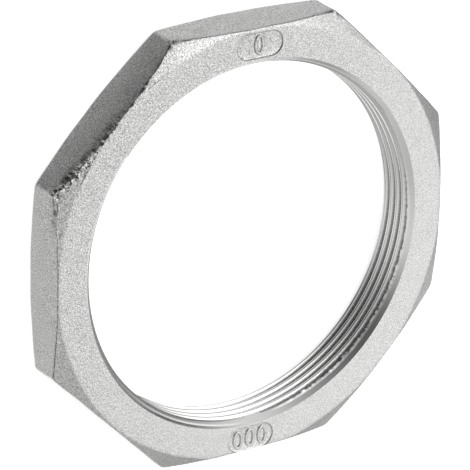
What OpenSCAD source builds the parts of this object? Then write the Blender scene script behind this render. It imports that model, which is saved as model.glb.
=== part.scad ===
// Octagonal pipe locknut, size 3 inch, cast in stainless steel as one piece.
// It lies on its back face: Z is the axis of the bore and Z = 0 is the back face.
// The marked face is on top. All sizes are in millimetres.

/* [Thread] */
// Major diameter of the pipe thread, at its roots
thread_major_d = 87.884; // [60:0.001:120]
// Pitch of the pipe thread, 11 turns an inch
thread_pitch = 2.309; // [1.2:0.001:3]
// Depth of the thread as a share of its pitch
thread_depth_share = 0.6403; // [0.5:0.0001:0.66]
// Angle between the two flanks of the thread
thread_angle = 55; // [50:1:60]
// How far each countersink's mouth lies outside the roots
countersink_margin = 0.56; // [0.1:0.01:2]
// Slope of the countersinks, measured from the axis
countersink_slope = 45; // [30:1:60]

/* [Octagon] */
// Thickness of metal between the roots of the thread and each wrench flat
ring_wall = 8.058; // [7:0.001:20]
// Height of the nut from back face to marked face
nut_height = 12; // [8:0.5:40]
// Rounding of the eight upright corners
corner_radius = 2; // [0.5:0.25:6]

/* [Corner chamfers] */
// How far inside the flats the level ring on the marked face ends
front_ring_inset = 0.3; // [0.1:0.05:2]
// How far inside the flats the level ring on the back face ends
back_ring_inset = 0.8; // [0.1:0.05:2]
// Slope of the chamfer at the marked face, measured from that face
front_slope = 26; // [15:1:35]
// Slope of the chamfer at the back face, measured from that face
back_slope = 25; // [15:1:35]

/* [Mark pads] */
// Length of each sunken pad, end to end
pad_length = 12.5; // [8:0.5:20]
// Metal left between each pad and both edges of the ring that it lies on
pad_margin = 0.5; // [0.2:0.05:1.5]
// Depth of each sunken pad below the marked face
pad_depth = 0.35; // [0.1:0.05:1]

/* [Hidden] */
$fn = 128;
steel = [0.78, 0.78, 0.77];
sides = 8;
side_angle = 360 / sides;
pad_angles = [90, 270];
// How far a cutting tool runs past the face that it cuts
overrun = 1;
// How far each corner's rounding stands proud of the flats, so that it crosses them cleanly
corner_swell = 0.01;

across_flats = thread_major_d + 2 * ring_wall;
thread_depth = thread_depth_share * thread_pitch;
thread_minor_d = thread_major_d - 2 * thread_depth;
thread_flat = thread_pitch / 2 - thread_depth * tan(thread_angle / 2);
mouth_r = thread_major_d / 2 + countersink_margin;
countersink_depth = (mouth_r - thread_minor_d / 2) / tan(countersink_slope);
// Grooves of the thread on each side of the middle of the nut
grooves_a_side = floor((nut_height / 2 - countersink_depth) / thread_pitch + 0.5);
front_r = across_flats / 2 - front_ring_inset;
back_r = across_flats / 2 - back_ring_inset;
pad_width = front_r - mouth_r - 2 * pad_margin;
pad_distance = (front_r + mouth_r) / 2;

// Outline of the nut seen along its axis: straight flats with round corners
module outline() {
    flat_at = across_flats / 2;
    axis_inset = flat_at - corner_radius;
    half_flat = axis_inset * tan(side_angle / 2);
    polygon([
        for (i = [0 : sides - 1], along = [-half_flat, half_flat])
            [flat_at * cos(i * side_angle) - along * sin(i * side_angle),
             flat_at * sin(i * side_angle) + along * cos(i * side_angle)]
    ]);
    for (i = [0 : sides - 1])
        rotate((i + 0.5) * side_angle)
            translate([(axis_inset + corner_swell) / cos(side_angle / 2), 0])
                circle(r = corner_radius);
}

// Solid of revolution that chamfers the corners at both faces
module turned_envelope() {
    reach = across_flats / 2 / cos(side_angle / 2) + overrun;
    rotate_extrude()
        polygon([
            [0, 0],
            [back_r, 0],
            [reach, (reach - back_r) * tan(back_slope)],
            [reach, nut_height - (reach - front_r) * tan(front_slope)],
            [front_r, nut_height],
            [0, nut_height]
        ]);
}

// Cone that opens the bore at the face at Z = 0, seen from inside the nut
module countersink() {
    tip_r = thread_minor_d / 2 - overrun;
    cylinder(r1 = mouth_r, r2 = tip_r, h = (mouth_r - tip_r) / tan(countersink_slope));
    translate([0, 0, -overrun]) cylinder(r = mouth_r, h = overrun);
}

// Grooves with the section and pitch of the thread, as plain rings in place of a helix
module thread_grooves() {
    crest_r = thread_minor_d / 2;
    root_r = thread_major_d / 2;
    mouth_half = (thread_pitch - thread_flat) / 2;
    for (i = [-grooves_a_side : grooves_a_side - 1])
        translate([0, 0, nut_height / 2 + (i + 0.5) * thread_pitch])
            rotate_extrude()
                polygon([
                    [crest_r - overrun, -mouth_half],
                    [crest_r, -mouth_half],
                    [root_r, -thread_flat / 2],
                    [root_r, thread_flat / 2],
                    [crest_r, mouth_half],
                    [crest_r - overrun, mouth_half]
                ]);
}

// Bore at the crests of the thread, with its grooves and a countersink at each face
module bore() {
    translate([0, 0, -overrun])
        cylinder(d = thread_minor_d, h = nut_height + 2 * overrun);
    thread_grooves();
    countersink();
    translate([0, 0, nut_height]) mirror([0, 0, 1]) countersink();
}

// Sunken pad with round ends, lying along the flat beside it
module mark_pad(angle) {
    half_straight = (pad_length - pad_width) / 2;
    rotate(angle)
        translate([pad_distance, 0, nut_height - pad_depth])
            linear_extrude(height = pad_depth + overrun) {
                square([pad_width, 2 * half_straight], center = true);
                for (end = [-1, 1])
                    translate([0, end * half_straight]) circle(d = pad_width);
            }
}

module locknut() {
    color(steel)
        difference() {
            intersection() {
                linear_extrude(height = nut_height) outline();
                turned_envelope();
            }
            bore();
            for (angle = pad_angles) mark_pad(angle);
        }
}

locknut();
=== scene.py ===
# Looks of the octagonal pipe locknut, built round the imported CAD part.
# Sizes are in millimetres where no comment says otherwise, and the meshes are in metres.
import math

import bpy
import numpy as np
from mathutils import Matrix, Vector, noise


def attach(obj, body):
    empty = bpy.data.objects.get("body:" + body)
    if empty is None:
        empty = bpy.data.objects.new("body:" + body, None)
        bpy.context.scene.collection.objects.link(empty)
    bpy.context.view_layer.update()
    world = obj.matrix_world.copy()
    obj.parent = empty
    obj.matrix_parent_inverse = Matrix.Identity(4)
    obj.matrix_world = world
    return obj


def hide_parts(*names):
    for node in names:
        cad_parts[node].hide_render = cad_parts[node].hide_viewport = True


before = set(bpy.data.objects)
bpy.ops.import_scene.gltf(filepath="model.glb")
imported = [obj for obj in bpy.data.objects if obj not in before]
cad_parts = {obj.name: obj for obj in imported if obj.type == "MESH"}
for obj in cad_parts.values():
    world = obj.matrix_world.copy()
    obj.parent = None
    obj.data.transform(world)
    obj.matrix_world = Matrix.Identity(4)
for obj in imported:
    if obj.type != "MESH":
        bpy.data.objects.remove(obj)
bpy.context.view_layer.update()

MM = 0.001
TURN = 2 * math.pi

# The octagon as cast: its flats lie at slightly different distances from the bore.
# They are listed from +X round through +Y, halfway up the nut.
SIDES = 8
STEP = TURN / SIDES
FLAT_AT = [52.1, 52.3, 52.2, 52.2, 52.0, 52.5, 51.2, 52.1]
# How much farther out each flat lies at the back face than at the marked face
DRAFT = 0.13
HEIGHT = 12.0
CORNER_R = 2.0

# The level rings on the two faces and the turned chamfers round them
FRONT_RING_R = 52.0
BACK_RING_R = 52.0
FRONT_SLOPE = math.radians(25.3)
BACK_SLOPE = math.radians(25.1)
# Width of the chamfer that is left where a flat lies inside the ring
LEAST_BEVEL = 0.15
# Spread of the smoothing that rounds the edges of the outside
EDGE_ROUND = 0.16

# The bore: countersunk mouths and a right-hand thread with flat crests
MOUTH_R = 44.65
# The front mouth keeps a lip of metal on one stretch and is worn wider on the next:
# start and end in degrees, then the width of lip or wear
LIP_FROM, LIP_TO, LIP_WIDTH = 76, 141, 0.25
WORN_FROM, WORN_TO, WORN_WIDTH = 142, 178, 0.28
# Degrees over which the lip grows, and over which it breaks off and the wear begins
LIP_GROWTH = 14
LIP_BREAK = 1
PITCH = 2.309
CREST_R = 43.1
ROOT_R = 44.22
FLANK_ANGLE = math.radians(27.5)
# Where the crest of the thread lies at angle 0, above the back face
CREST_AT = 8.93
# How much of the depth the rounding takes at the edges of crest and root,
# and what share of that the middle of the rounding takes
CREST_EASE = 0.07
ROOT_EASE = 0.16
EASE_MIDDLE = 0.3

# Cells of the mesh: round the axis along each flat and corner, then along the profile
FLAT_COLUMNS = [68, 50, 50, 150, 56, 52, 72, 76]
CORNER_COLUMNS = 6
CHAMFER_CELLS = 8
WALL_CELLS = 13
FLANK_CELLS = 3
# Where the rows of the level rings lie, from the mouth outwards, as shares of the ring
RING_ROWS = [0, 0.008, 0.04, 0.13, 0.26, 0.4, 0.54, 0.68, 0.82, 0.94]
# How strongly the rows of chamfers and flats draw together near their edges, from 0 to 1
BUNCHING = 0.7
# Points of the profile that is smoothed before the rows are picked from it
FINE_POINTS = 1400
# Thread rows closer than this to a face run into the edge of the mouth
MOUTH_JOIN = 0.03
# Faces that meet at more than this angle show a sharp edge
SHARP_ANGLE = math.radians(40)

# How fast the ridges of broken metal fall off into the valleys between them
RIDGE_STEEPNESS = 2.5

# Chipped stretches of the edge between the marked face's chamfer and the flats:
# angle of the middle in degrees, half length in degrees, depth in millimetres
CHIPPED = [
    (151, 8, 1.0), (138, 7, 0.5), (158, 4, 0.7), (164, 3, 0.6),
    (125, 9, 0.2), (112, 3, 0.4), (68, 3, 0.3),
]
# Width of the chipped strip on each side of the edge, and the size of its splinters
CHIP_WIDTH = 1.2
CHIP_SIZE = 0.75
# Splinters of this height reach the edge as cast. Higher ones stand out as burrs.
CHIP_LEVEL = 1.15
# How far burrs stand out, as a share of the chips' depth
BURR_SHARE = 0.15
# How far chips lower the edge, as a share of how far they cut inwards
CHIP_DROP = 0.2

# The torn inner edge of the front countersink: where it starts and ends
# and over what angle it fades out, in degrees
TORN_FROM = -82
TORN_TO = 62
TORN_FADE = 8
# Depth below the marked face where the burr starts, and over what depth it grows.
# Then the same for where it ends.
TORN_TOP, TORN_TOP_GROWTH = 1.0, 0.16
TORN_FOOT, TORN_FOOT_GROWTH = 1.65, 0.25
# Height of the burr's splinters, their size, and how many heights the whole burr leans inwards
TORN_HEIGHT = 0.16
TORN_SIZE = 0.7
TORN_LEAN = 1.6

# Slow waviness of the cast skin, deeper on the wrench flats than on the faces
WAVE_SIZE = 6.0
WAVE_DEPTH = 0.05
FLAT_WAVE_DEPTH = 0.11
# Distance over which the waviness fades out at the mouth, and changes over at the outer edge
MOUTH_FADE = 1.0
EDGE_FADE = 0.3

# The flat that faces both +Y and -X bulges between its two faces:
# its middle, half width and fade in degrees, then its drop at both faces
BULGE_AT, BULGE_HALF, BULGE_FADE, BULGE_DROP = 135, 21, 4, 0.28

# Sunken pads with round ends and the plain relief on them
PAD_LENGTH = 12.5
PAD_WIDTH = 6.2
PAD_DEPTH = 0.35
PAD_AT = 48.1
PAD_ARC_CELLS = 24
# Rows of a pad's wall from above the face down to its floor: inset from the outline, height
PAD_WALL = [(-0.1, 0.6), (0.0, 0.02), (0.06, -0.1), (0.12, -0.24), (0.2, -0.32), (0.36, -PAD_DEPTH)]
# Plain oval rings cast on the pads: half width and half length between the middles of the strokes
RELIEF_HALF_WIDTH = 1.0
RELIEF_HALF_LENGTH = 2.0
# Half width of the strokes and their rise above the pad's floor
RELIEF_STROKE = 0.36
RELIEF_RISE = 0.33
# Power that squares up the round section of the strokes
RELIEF_SQUARE = 0.55
# Distance between the middles of neighbouring rings
RELIEF_PITCH = 3.3
RELIEF_CELLS_AROUND = 56
RELIEF_CELLS_ACROSS = 16

# The cast skin: pebbles in a metre, about 0.3 mm each, and their height in millimetres
PEBBLES_A_METRE = 3400
PEBBLE_DETAIL = 3
PEBBLE_ROUGHNESS = 0.65
PEBBLE_HEIGHT = 0.13
PEBBLE_STRENGTH = 0.7
CAST_ROUGHNESS = 0.3
CAST_DARK = (0.26, 0.257, 0.254, 1)
CAST_LIGHT = (0.88, 0.876, 0.868, 1)
# The part of the pebble noise that runs from the dark to the light colour
TONE_SPAN = (0.15, 0.85)
# The skin is grainiest towards this side of the nut, where its colour is also painted a little darker as
# shade. Each pair of pairs says over which metres to that side a value changes, and from what to what.
GRAINY_AND_SHADED_SIDE = (-0.71, 0.71, 0)
GRAIN_CONTRAST = ((-0.02, 0.05), (1.3, 2.4))
# The second pair sets the grain's level: its drop from 0.6 to 0.46 towards that side is painted shade
GRAIN_LEVEL_AND_PAINTED_SHADE = ((-0.05, 0.05), (0.6, 0.46))

MACHINED_COLOUR = (0.7, 0.695, 0.69, 1)
MACHINED_ROUGHNESS = 0.27

# The pale floor: half its width in metres, its colour and its own soft glow
FLOOR_HALF = 3.0
FLOOR_COLOUR = (0.8, 0.8, 0.8, 1)
FLOOR_ROUGHNESS = 0.9
FLOOR_GLOW = 0.75
WHITE = (1, 1, 1, 1)


def unit(angle):
    """The point at this angle on a circle of radius 1."""
    return np.array([math.cos(angle), math.sin(angle)])


def corner_centres(flats):
    """Centres of the corner roundings, each between a flat and the next one round."""
    centres = []
    for i in range(SIDES):
        normals = np.array([unit(STEP * i), unit(STEP * (i + 1))])
        insets = np.array([flats[i], flats[(i + 1) % SIDES]]) - CORNER_R
        centres.append(np.linalg.solve(normals, insets))
    return centres


def corner_span(i, centre):
    """Angles at which the rounding of a corner leaves its two flats."""
    ends = [centre + CORNER_R * unit(STEP * side) for side in (i, i + 1)]
    start, end = (math.atan2(p[1], p[0]) % TURN for p in ends)
    return start, end


def column_angles():
    """Angles of the mesh columns, closer together round the eight corners."""
    spans = [corner_span(i, c) for i, c in enumerate(corner_centres(FLAT_AT))]
    angles = []
    for i, count in enumerate(FLAT_COLUMNS):
        start = spans[i - 1][1] - (TURN if i == 0 else 0)
        end, corner_end = spans[i]
        angles.append(np.linspace(start, end, count + 1))
        angles.append(np.linspace(end, corner_end, CORNER_COLUMNS + 1)[1:-1])
    return np.concatenate(angles)


def outline_radius(angles, flats):
    """Distance from the axis to the octagon with its rounded corners."""
    beyond_nut, least_cosine = 1000.0, 0.1
    reach = np.full(len(angles), beyond_nut)
    for i, distance in enumerate(flats):
        reach = np.minimum(reach, distance / np.maximum(np.cos(angles - STEP * i), least_cosine))
    for i, centre in enumerate(corner_centres(flats)):
        start, end = corner_span(i, centre)
        within = (angles - start) % TURN < (end - start) % TURN
        along = centre[0] * np.cos(angles) + centre[1] * np.sin(angles)
        across = centre[0] * np.sin(angles) - centre[1] * np.cos(angles)
        arc = along + np.sqrt(np.maximum(CORNER_R**2 - across**2, 0))
        reach = np.where(within, arc, reach)
    return reach


def front_mouth(angles):
    """Radius of the front mouth: a little narrower on its lip, then wider where it is worn."""
    degrees = np.degrees(angles) % 360
    lip = np.interp(degrees, [LIP_FROM, LIP_FROM + LIP_GROWTH, LIP_TO - LIP_BREAK, LIP_TO], [0, 1, 1, 0])
    worn = np.interp(degrees, [WORN_FROM - LIP_BREAK, WORN_FROM, WORN_TO], [0, 1, 0])
    return MOUTH_R - LIP_WIDTH * lip + WORN_WIDTH * worn


def smooth_along(rows, sigma):
    """Rounds each column's fine profile by a Gaussian, with both ends held."""
    sigmas_kept = 4
    span = int(sigmas_kept * sigma)
    weights = np.exp(-0.5 * (np.arange(-span, span + 1) / sigma) ** 2)
    weights /= weights.sum()
    head = 2 * rows[:, :1] - rows[:, span:0:-1]
    tail = 2 * rows[:, -1:] - rows[:, -2:-span - 2:-1]
    padded = np.concatenate([head, rows, tail], axis=1)
    return sum(w * padded[:, i:i + rows.shape[1]] for i, w in enumerate(weights))


def bunched_rows(cells):
    """Where the rows of a stretch lie, as shares of it, closer together near both ends."""
    even = np.linspace(0, 1, cells + 1)[:-1]
    return BUNCHING * (1 - np.cos(even * math.pi)) / 2 + (1 - BUNCHING) * even


def outer_rows(angles):
    """Radius and height of the outside, from the front mouth out and round to the back mouth."""
    front = outline_radius(angles, [f - DRAFT / 2 for f in FLAT_AT])
    back = outline_radius(angles, [f + DRAFT / 2 for f in FLAT_AT])
    front_ring = np.minimum(FRONT_RING_R, front - LEAST_BEVEL)
    back_ring = np.minimum(BACK_RING_R, back - LEAST_BEVEL)
    front_edge = HEIGHT - (front - front_ring) * math.tan(FRONT_SLOPE)
    back_edge = (back - back_ring) * math.tan(BACK_SLOPE)
    level = np.ones(len(angles))
    corners_r = np.array([front_mouth(angles), front_ring, front, back, back_ring, MOUTH_R * level])
    corners_z = np.array([HEIGHT * level, HEIGHT * level, front_edge, back_edge, 0 * level, 0 * level])
    lengths = np.hypot(np.diff(corners_r, axis=0), np.diff(corners_z, axis=0))
    ends = np.concatenate([[0 * level], np.cumsum(lengths, axis=0)])

    share = np.linspace(0, 1, FINE_POINTS)
    radius = np.empty((len(angles), FINE_POINTS))
    height = np.empty((len(angles), FINE_POINTS))
    for k in range(len(angles)):
        radius[k] = np.interp(share * ends[-1, k], ends[:, k], corners_r[:, k])
        height[k] = np.interp(share * ends[-1, k], ends[:, k], corners_z[:, k])
    sigma = EDGE_ROUND * FINE_POINTS / ends[-1].mean()
    radius, height = smooth_along(radius, sigma), smooth_along(height, sigma)

    ring = np.array(RING_ROWS)
    chamfer, wall = bunched_rows(CHAMFER_CELLS), bunched_rows(WALL_CELLS)
    back_ring_rows = np.concatenate([[0], 1 - ring[:0:-1], [1]])
    out_r, out_z = [], []
    for k in range(len(angles)):
        marks = [ends[i, k] + rows * lengths[i, k]
                 for i, rows in enumerate([ring, chamfer, wall, chamfer, back_ring_rows])]
        marks = np.concatenate(marks) / ends[-1, k]
        out_r.append(np.interp(marks, share, radius[k]))
        out_z.append(np.interp(marks, share, height[k]))
    return np.array(out_r), np.array(out_z)


def thread_profile():
    """Heights within one pitch, from crest to crest, and the thread's radius there."""
    slope = math.tan(FLANK_ANGLE)
    crest_half = (PITCH / 2 - (ROOT_R - CREST_R) * slope) / 2
    flank_in = (crest_half + CREST_EASE * slope, CREST_R + CREST_EASE)
    flank_out = (PITCH / 2 - crest_half - ROOT_EASE * slope, ROOT_R - ROOT_EASE)
    half = [(0, CREST_R), (crest_half - CREST_EASE, CREST_R)]
    half.append((crest_half, CREST_R + EASE_MIDDLE * CREST_EASE))
    for i in range(FLANK_CELLS + 1):
        t = i / FLANK_CELLS
        half.append(tuple(p + t * (q - p) for p, q in zip(flank_in, flank_out)))
    half.append((PITCH / 2 - crest_half, ROOT_R - EASE_MIDDLE * ROOT_EASE))
    half.append((PITCH / 2, ROOT_R))
    whole = half + [(PITCH - z, r) for z, r in half[-2:0:-1]]
    return np.array([z for z, r in whole]), np.array([r for z, r in whole])


def bumps(points, size, seed):
    """Smooth noise from -1 to 1 with bumps of a given size in millimetres."""
    shift = Vector((seed, 2 * seed, 3 * seed))
    return np.array([noise.noise(Vector(p) / size + shift) for p in points])


def ridges(points, size, seed):
    """Sharp crests at 1 with valleys between them."""
    return 1 - RIDGE_STEEPNESS * np.abs(bumps(points, size, seed))


def splinters(points, size, seed):
    """Height of broken metal: ridges with finer ones of half the size and height on them."""
    return ridges(points, size, seed) + ridges(points, size / 2, seed + 1) / 2


def space_points(radius, height, angles):
    """Points in space for rows of radius and height at each column's angle."""
    cos, sin = np.cos(angles)[:, None], np.sin(angles)[:, None]
    return np.stack([radius * cos, radius * sin, height], axis=-1)


def torn_edge(r, z, angles):
    """Ragged burr where the front countersink cuts the thread, as a move of the radius."""
    middle, half = (TORN_FROM + TORN_TO) / 2, (TORN_TO - TORN_FROM) / 2
    degrees = (np.degrees(angles) - middle + 180) % 360 - 180
    along = np.clip((half - np.abs(degrees)) / TORN_FADE, 0, 1)[:, None]
    depth = HEIGHT - z
    started = np.clip((depth - TORN_TOP) / TORN_TOP_GROWTH, 0, 1)
    unfinished = np.clip((TORN_FOOT - depth) / TORN_FOOT_GROWTH, 0, 1)
    weight = along * (started * unfinished)
    torn = np.zeros(r.shape)
    picked = weight > 0
    rough = splinters(space_points(r, z, angles)[picked], TORN_SIZE, seed=4) - TORN_LEAN
    torn[picked] = TORN_HEIGHT * rough * weight[picked]
    return torn


def bore_rows(angles):
    """Radius and height of the bore on rows that climb with the thread, and the rows a pitch."""
    heights, radii = thread_profile()
    below = math.ceil(CREST_AT / PITCH) + 1
    pitches = below + math.ceil((HEIGHT - CREST_AT) / PITCH) + 1
    starts = CREST_AT + PITCH * np.arange(-below, pitches - below)
    base = (starts[:, None] + heights[None, :]).ravel()
    z = base[None, :] + PITCH * angles[:, None] / TURN
    r = np.broadcast_to(np.tile(radii, pitches), z.shape)
    r = np.maximum(r, MOUTH_R - z)
    r = np.maximum(r, front_mouth(angles)[:, None] - (HEIGHT - z))
    return r + torn_edge(r, z, angles), z, len(heights)


def wear_outside(radius, height, angles):
    """Radius and height of the outside with the skin's waviness, the bulge and the chips."""
    points = space_points(radius, height, angles).reshape(-1, 3)
    wave = bumps(points, WAVE_SIZE, seed=1).reshape(radius.shape)
    # The row on the edge between the marked face's chamfer and the flats
    edge = len(RING_ROWS) + CHAMFER_CELLS
    away = np.hypot(radius - radius[:, edge:edge + 1], height - height[:, edge:edge + 1])
    near = np.exp(-(away / CHIP_WIDTH) ** 2)
    degrees = np.degrees(angles) % 360
    depth = np.zeros(len(angles))
    for middle, half, deep in CHIPPED:
        depth = np.maximum(depth, deep * np.exp(-((degrees - middle) / half) ** 2))
    rough = splinters(points, CHIP_SIZE, seed=2).reshape(radius.shape)
    chip = depth[:, None] * near * np.clip(CHIP_LEVEL - rough, -BURR_SHARE, 1)
    fade = np.minimum(1, (radius - MOUTH_R) / MOUTH_FADE)
    on_flats = np.clip((radius - FRONT_RING_R + LEAST_BEVEL) / EDGE_FADE, 0, 1)
    on_face = np.where(height > HEIGHT / 2, 1 - on_flats, 0)
    bulge = np.clip((BULGE_HALF - np.abs(degrees - BULGE_AT)) / BULGE_FADE, 0, 1)[:, None]
    bulge = BULGE_DROP * bulge * (2 * height / HEIGHT - 1) ** 2
    radius = radius - chip + (FLAT_WAVE_DEPTH * wave - bulge) * on_flats * fade
    height = height - CHIP_DROP * chip + WAVE_DEPTH * wave * on_face * fade
    return radius, np.minimum(height, HEIGHT + WAVE_DEPTH)


def build_casting():
    """The whole nut as one closed mesh, and a 1 for each machined face or a 0 for each cast one."""
    angles = column_angles()
    columns = len(angles)
    out_r, out_z = wear_outside(*outer_rows(angles), angles)
    rows = out_r.shape[1]
    in_r, in_z, per_pitch = bore_rows(angles)
    inside = (in_z > MOUTH_JOIN) & (in_z < HEIGHT - MOUTH_JOIN)

    outer = np.arange(columns * rows).reshape(columns, rows)
    bore = np.where(in_z > HEIGHT / 2, outer[:, :1], outer[:, -1:])
    bore[inside] = columns * rows + np.arange(inside.sum())
    verts = np.concatenate([
        space_points(out_r, out_z, angles).reshape(-1, 3),
        space_points(in_r, in_z, angles)[inside],
    ])

    faces, machined = [], []
    top = bore.shape[1] - 1
    for k in range(columns):
        m = (k + 1) % columns
        # The thread climbs one pitch in a turn, so its rows join one pitch higher at the seam.
        shift = per_pitch if m == 0 else 0
        for j in range(rows - 1):
            faces.append((outer[k, j], outer[k, j + 1], outer[m, j + 1], outer[m, j]))
            machined.append(0)
        for j in range(top):
            loop = (bore[k, j], bore[k, j + 1],
                    bore[m, min(j + 1 + shift, top)], bore[m, min(j + shift, top)])
            # Rows that have run into the edge of a mouth share its points.
            corners = list(dict.fromkeys(loop))
            if len(corners) > 2:
                faces.append(tuple(corners))
                machined.append(1)
    return verts, faces, machined


def pad_outline(inset):
    """A pad's outline with round ends, about its own centre, drawn in by an inset."""
    radius = PAD_WIDTH / 2 - inset
    half_straight = (PAD_LENGTH - PAD_WIDTH) / 2
    points = []
    for side in (1, -1):
        for i in range(PAD_ARC_CELLS + 1):
            angle = math.pi * (i / PAD_ARC_CELLS - 0.5)
            points.append(side * (np.array([half_straight, 0]) + radius * unit(angle)))
    return points


def pad_cutter(name, centre_y, material):
    """A closed block with a rounded foot that sinks a pad into the marked face."""
    verts, faces = [], []
    for inset, rise in PAD_WALL:
        verts += [(x, y + centre_y, HEIGHT + rise) for x, y in pad_outline(inset)]
    count = len(verts) // len(PAD_WALL)
    for row in range(len(PAD_WALL) - 1):
        for i in range(count):
            a, b = row * count + i, row * count + (i + 1) % count
            faces.append((a, a + count, b + count, b))
    faces.append(tuple(range(count)))
    faces.append(tuple(reversed(range(len(verts) - count, len(verts)))))
    return make_object(name, np.array(verts) * MM, faces, [material])


def cut_away(target, cutter):
    """Takes the cutter's shape out of the target and removes the cutter."""
    cut = target.modifiers.new("cut", "BOOLEAN")
    cut.operation = "DIFFERENCE"
    cut.solver = "EXACT"
    cut.object = cutter
    bpy.context.view_layer.update()
    evaluated = target.evaluated_get(bpy.context.evaluated_depsgraph_get())
    shape = bpy.data.meshes.new_from_object(evaluated)
    target.modifiers.clear()
    target.data = shape
    bpy.data.objects.remove(cutter)


def oval_ring(name, x, y, material):
    """A raised oval ring with a squashed round stroke, standing on a pad's floor."""
    floor_z = HEIGHT - PAD_DEPTH
    halves = np.array([RELIEF_HALF_WIDTH, RELIEF_HALF_LENGTH])
    verts, faces = [], []
    for i in range(RELIEF_CELLS_AROUND):
        middle = halves * unit(TURN * i / RELIEF_CELLS_AROUND)
        outward = unit(math.atan2(middle[1] * RELIEF_HALF_WIDTH**2, middle[0] * RELIEF_HALF_LENGTH**2))
        for j in range(RELIEF_CELLS_ACROSS):
            round_section = unit(TURN * j / RELIEF_CELLS_ACROSS)
            across, up = np.sign(round_section) * np.abs(round_section) ** RELIEF_SQUARE
            px, py = middle + outward * across * RELIEF_STROKE
            verts.append((x + px, y + py, floor_z + up * RELIEF_RISE))
    for i in range(RELIEF_CELLS_AROUND):
        for j in range(RELIEF_CELLS_ACROSS):
            a = i * RELIEF_CELLS_ACROSS
            b = (i + 1) % RELIEF_CELLS_AROUND * RELIEF_CELLS_ACROSS
            k = (j + 1) % RELIEF_CELLS_ACROSS
            faces.append((a + j, b + j, b + k, a + k))
    ring = make_object(name, np.array(verts) * MM, faces, [material])
    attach(ring, "root")
    return ring


def make_object(name, verts, faces, materials, material_index=None):
    """A smooth-shaded object in the scene, from points in metres and faces."""
    mesh = bpy.data.meshes.new(name)
    mesh.from_pydata([tuple(v) for v in verts], [], [tuple(int(i) for i in f) for f in faces])
    for material in materials:
        mesh.materials.append(material)
    if material_index is not None:
        mesh.polygons.foreach_set("material_index", material_index)
    mesh.polygons.foreach_set("use_smooth", [True] * len(faces))
    mesh.validate()
    mesh.update()
    obj = bpy.data.objects.new(name, mesh)
    bpy.context.scene.collection.objects.link(obj)
    return obj


def map_range(nodes, over, values):
    """A node that changes a value over a span from one number to another."""
    node = nodes.new("ShaderNodeMapRange")
    node.inputs["From Min"].default_value, node.inputs["From Max"].default_value = over
    node.inputs["To Min"].default_value, node.inputs["To Max"].default_value = values
    return node


def cast_material():
    """Satin cast steel whose pebbled skin shows as fine relief and as light and dark grain, with painted
    shade that darkens its colour towards one side.
    """
    mat = bpy.data.materials.new("cast_steel")
    mat.use_nodes = True
    nodes, links = mat.node_tree.nodes, mat.node_tree.links
    shader = nodes["Principled BSDF"]
    shader.inputs["Metallic"].default_value = 1.0
    shader.inputs["Roughness"].default_value = CAST_ROUGHNESS

    coords = nodes.new("ShaderNodeTexCoord")
    pebbles = nodes.new("ShaderNodeTexNoise")
    pebbles.inputs["Scale"].default_value = PEBBLES_A_METRE
    pebbles.inputs["Detail"].default_value = PEBBLE_DETAIL
    pebbles.inputs["Roughness"].default_value = PEBBLE_ROUGHNESS
    links.new(coords.outputs["Object"], pebbles.inputs["Vector"])

    bump = nodes.new("ShaderNodeBump")
    bump.inputs["Strength"].default_value = PEBBLE_STRENGTH
    bump.inputs["Distance"].default_value = PEBBLE_HEIGHT * MM
    links.new(pebbles.outputs["Fac"], bump.inputs["Height"])
    links.new(bump.outputs["Normal"], shader.inputs["Normal"])

    side = nodes.new("ShaderNodeVectorMath")
    side.operation = "DOT_PRODUCT"
    side.inputs[1].default_value = GRAINY_AND_SHADED_SIDE
    links.new(coords.outputs["Object"], side.inputs[0])
    contrast = map_range(nodes, *GRAIN_CONTRAST)
    links.new(side.outputs["Value"], contrast.inputs["Value"])
    # Painted shade: the grain's level, and so the colour, drops towards the shaded side of the nut
    level = map_range(nodes, *GRAIN_LEVEL_AND_PAINTED_SHADE)
    links.new(side.outputs["Value"], level.inputs["Value"])

    # The noise lies round 0.5, so it is centred on 0 before its contrast and level are set.
    centred = nodes.new("ShaderNodeMath")
    centred.operation = "SUBTRACT"
    centred.inputs[1].default_value = 0.5
    links.new(pebbles.outputs["Fac"], centred.inputs[0])
    grain = nodes.new("ShaderNodeMath")
    grain.operation = "MULTIPLY_ADD"
    links.new(centred.outputs[0], grain.inputs[0])
    links.new(contrast.outputs["Result"], grain.inputs[1])
    links.new(level.outputs["Result"], grain.inputs[2])

    tone = nodes.new("ShaderNodeValToRGB")
    for stop, position, colour in zip(tone.color_ramp.elements, TONE_SPAN, (CAST_DARK, CAST_LIGHT)):
        stop.position = position
        stop.color = colour
    links.new(grain.outputs[0], tone.inputs["Fac"])
    links.new(tone.outputs["Color"], shader.inputs["Base Color"])
    return mat


def machined_material():
    """Bright turned steel of the countersinks and the thread."""
    mat = bpy.data.materials.new("machined_steel")
    mat.use_nodes = True
    shader = mat.node_tree.nodes["Principled BSDF"]
    shader.inputs["Metallic"].default_value = 1.0
    shader.inputs["Base Color"].default_value = MACHINED_COLOUR
    shader.inputs["Roughness"].default_value = MACHINED_ROUGHNESS
    return mat


def floor_material():
    """Plain pale floor that glows a little, so that it stays evenly light."""
    mat = bpy.data.materials.new("pale_floor")
    mat.use_nodes = True
    shader = mat.node_tree.nodes["Principled BSDF"]
    shader.inputs["Base Color"].default_value = FLOOR_COLOUR
    shader.inputs["Roughness"].default_value = FLOOR_ROUGHNESS
    shader.inputs["Specular IOR Level"].default_value = 0.0
    shader.inputs["Emission Color"].default_value = WHITE
    shader.inputs["Emission Strength"].default_value = FLOOR_GLOW
    return mat


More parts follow.
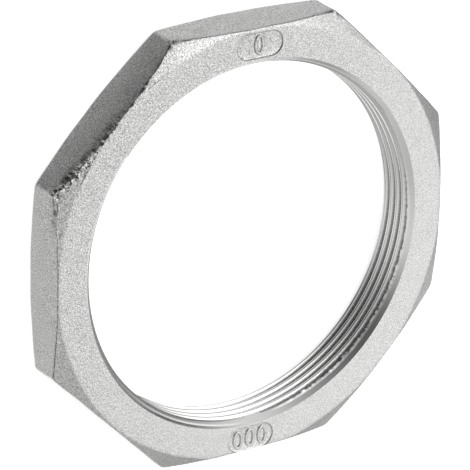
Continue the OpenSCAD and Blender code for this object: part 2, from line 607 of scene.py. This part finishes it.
cast, turned = cast_material(), machined_material()
verts, faces, machined = build_casting()
casting = make_object("locknut_casting", verts * MM, faces, [cast, turned], machined)
for side, name in ((1, "pad_cutter_top"), (-1, "pad_cutter_bottom")):
    cut_away(casting, pad_cutter(name, side * PAD_AT, cast))
casting.data.set_sharp_from_angle(angle=SHARP_ANGLE)
oval_ring("relief_ring_top", 0, PAD_AT, cast)
for i in (-1, 0, 1):
    oval_ring(f"relief_ring_bottom_{i + 2}", i * RELIEF_PITCH, -PAD_AT, cast)
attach(casting, "root")
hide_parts("locknut")

floor_corners = [(x * FLOOR_HALF, y * FLOOR_HALF, 0) for x, y in ((-1, -1), (1, -1), (1, 1), (-1, 1))]
floor = make_object("floor", floor_corners, [(0, 1, 2, 3)], [floor_material()])
floor.visible_glossy = False
floor.visible_shadow = False

# Soft lobes of studio light round the nut: elevation, azimuth, strength
LOBES = [
    # The wide bank of light beyond the nut, which its marked face mirrors
    (48, -34, 1.75), (38, 22, 1.0), (51, 36, 1.1), (63, 63, 1.75), (25, 56, 0.55),
    # The smaller bank at the left, for the chamfers and the upper flanks of the thread
    (68, -143, 0.9), (38, -170, 0.85), (34, -128, 0.52),
    # Low light from the right, for the countersink and the chamfers at the right
    (31, -86, 0.3), (14, -108, 0.45), (-6, -84, 0.9), (-14, -26, 0.65), (-24, -4, 0.2),
    # Light thrown up by the table, which the upright walls and the bore mirror
    (-30, -47, 1.0), (-52, -36, 0.6), (-49, -88, 1.45), (-48, -166, 1.3),
    (-48, 79, 0.85), (-52, 32, 0.9), (-48, 156, 0.1), (-72, 127, 0.38),
]
# How tightly each lobe's light gathers round its own direction
LOBE_SHARPNESS = 14.0


def studio_world():
    """A world of soft lobes, each brightest at its own direction."""
    world = bpy.data.worlds.new("studio")
    world.use_nodes = True
    nodes, links = world.node_tree.nodes, world.node_tree.links
    direction = nodes.new("ShaderNodeTexCoord").outputs["Generated"]
    total = None
    for elevation, azimuth, strength in LOBES:
        el, az = math.radians(elevation), math.radians(azimuth)
        dot = nodes.new("ShaderNodeVectorMath")
        dot.operation = "DOT_PRODUCT"
        dot.inputs[1].default_value = (
            math.cos(el) * math.cos(az), math.cos(el) * math.sin(az), math.sin(el))
        links.new(direction, dot.inputs[0])
        # strength * exp(sharpness * (dot - 1)), with the strength taken into the exponent
        steep = nodes.new("ShaderNodeMath")
        steep.operation = "MULTIPLY_ADD"
        steep.inputs[1].default_value = LOBE_SHARPNESS
        steep.inputs[2].default_value = math.log(strength) - LOBE_SHARPNESS
        links.new(dot.outputs["Value"], steep.inputs[0])
        lobe = nodes.new("ShaderNodeMath")
        lobe.operation = "EXPONENT"
        links.new(steep.outputs[0], lobe.inputs[0])
        if total is None:
            total = lobe.outputs[0]
            continue
        add = nodes.new("ShaderNodeMath")
        links.new(total, add.inputs[0])
        links.new(lobe.outputs[0], add.inputs[1])
        total = add.outputs[0]
    nodes["Background"].inputs["Color"].default_value = WHITE
    links.new(total, nodes["Background"].inputs["Strength"])
    return world


bpy.context.scene.world = studio_world()
bpy.context.scene.view_settings.view_transform = "Standard"

# The camera, as fitted to the corners and edges in the photograph: its place in
# millimetres, its axes and its lens, then how far it sees in metres
CAMERA_AT = (-437.62, 322.08, 656.17)
CAMERA_RIGHT = (0.83504, 0.02079, 0.54979)
CAMERA_DOWN = (-0.19275, -0.9249, 0.32774)
CAMERA_AHEAD = (0.51531, -0.37965, -0.76832)
LENS_LENGTH = 284.86
SENSOR_WIDTH = 36
SIGHT = 10
lens = bpy.data.cameras.new("camera")
lens.lens = LENS_LENGTH
lens.sensor_width = SENSOR_WIDTH
lens.clip_end = SIGHT
camera = bpy.data.objects.new("camera", lens)
right, down, ahead = (Vector(v) for v in (CAMERA_RIGHT, CAMERA_DOWN, CAMERA_AHEAD))
turn_matrix = Matrix((right, -down, -ahead)).transposed().to_4x4()
camera.matrix_world = Matrix.Translation(Vector(CAMERA_AT) * MM) @ turn_matrix
bpy.context.scene.collection.objects.link(camera)
bpy.context.scene.camera = camera
